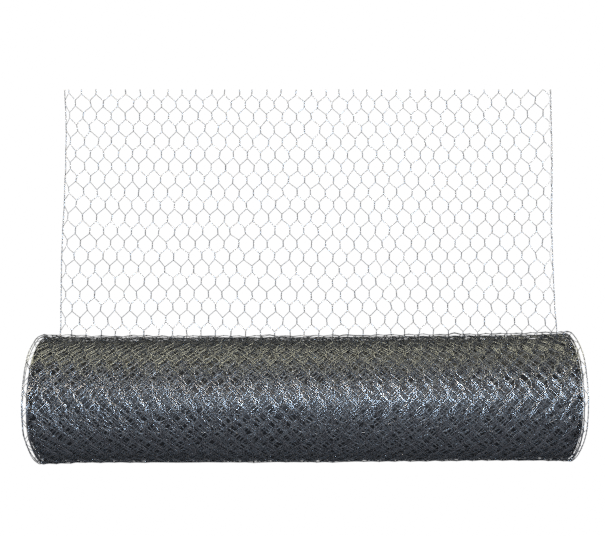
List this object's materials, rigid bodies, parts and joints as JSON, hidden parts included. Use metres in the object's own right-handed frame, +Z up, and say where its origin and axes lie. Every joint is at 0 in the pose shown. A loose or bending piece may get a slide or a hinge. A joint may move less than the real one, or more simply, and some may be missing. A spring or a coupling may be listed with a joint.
{
  "type": "roll of chicken wire",
  "caption": "Roll of galvanised hexagonal wire netting lying on its side, with its loose end run out flat from under it.",
  "frame": {"origin": "on the floor, at the middle of the space that the roll and its loose end cover", "axes": "+X along the roll's axis, +Y the way the loose end runs out from under the roll, +Z up"},
  "size_m": [0.9, 0.6591, 0.2118],
  "materials": {
    "galvanised_wire": "hot-dip galvanised steel wire"
  },
  "bodies": {
    "root": {"wire_roll": "galvanised_wire", "loose_end_near": "galvanised_wire", "loose_end_middle": "galvanised_wire", "loose_end_far": "galvanised_wire"}
  },
  "joints": []
}
